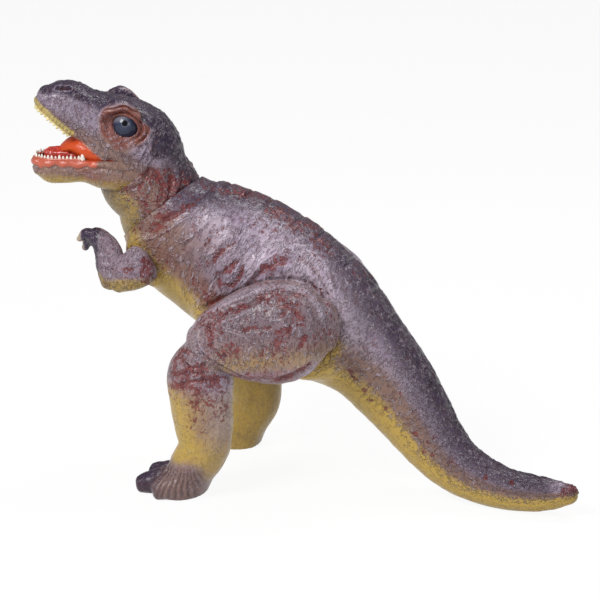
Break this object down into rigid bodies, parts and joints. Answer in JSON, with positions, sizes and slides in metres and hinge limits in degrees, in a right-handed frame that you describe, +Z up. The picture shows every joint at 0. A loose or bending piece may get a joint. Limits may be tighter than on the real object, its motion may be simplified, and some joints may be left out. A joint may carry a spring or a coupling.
{
  "type": "stuffed toy dinosaur",
  "caption": "Stuffed soft-vinyl dinosaur toy with an open toothed mouth, standing on its feet and tail, its head, arms and legs turning in plugged joints.",
  "frame": {"origin": "on the floor under the middle of the toy's length and width", "axes": "+Z up, -X the way the toy walks, +X towards its tail, -Y its left side"},
  "size_m": [0.4849, 0.199, 0.3472],
  "materials": {
    "vinyl_skin": "satin",
    "vinyl_jaw": "satin",
    "vinyl_tongue": "satin",
    "vinyl_teeth": "satin",
    "eye_plastic": "gloss",
    "fibre_fill": "matte"
  },
  "bodies": {
    "torso": {"torso_skin": "vinyl_skin", "body_stuffing": "fibre_fill"},
    "head": {"head_skin": "vinyl_skin", "head_stuffing": "fibre_fill", "lower_jaw": "vinyl_jaw", "tongue": "vinyl_tongue", "upper_teeth": "vinyl_teeth", "lower_teeth": "vinyl_teeth", "left_eye": "eye_plastic", "right_eye": "eye_plastic"},
    "left_arm": {"left_arm_skin": "vinyl_skin"},
    "right_arm": {"right_arm_skin": "vinyl_skin"},
    "left_leg": {"left_leg_skin": "vinyl_skin", "left_leg_stuffing": "fibre_fill"},
    "right_leg": {"right_leg_skin": "vinyl_skin", "right_leg_stuffing": "fibre_fill"}
  },
  "joints": [
    {"name": "neck_turn", "type": "hinge", "parent": "torso", "child": "head", "pos_m": [-0.1365, 0, 0.234], "axis": [-0.6293, 0, 0.7771], "range_deg": [-35, 35]},
    {"name": "left_shoulder_turn", "type": "hinge", "parent": "torso", "child": "left_arm", "pos_m": [-0.1345, -0.0455, 0.196], "axis": [0, -1, 0], "range_deg": [-45, 45]},
    {"name": "right_shoulder_turn", "type": "hinge", "parent": "torso", "child": "right_arm", "pos_m": [-0.1345, 0.0455, 0.196], "axis": [0, -1, 0], "range_deg": [-45, 45]},
    {"name": "left_hip_turn", "type": "hinge", "parent": "torso", "child": "left_leg", "pos_m": [-0.0105, -0.05, 0.153], "axis": [0, -1, 0], "range_deg": [-15, 15]},
    {"name": "right_hip_turn", "type": "hinge", "parent": "torso", "child": "right_leg", "pos_m": [-0.0105, 0.05, 0.153], "axis": [0, -1, 0], "range_deg": [-15, 15]}
  ]
}
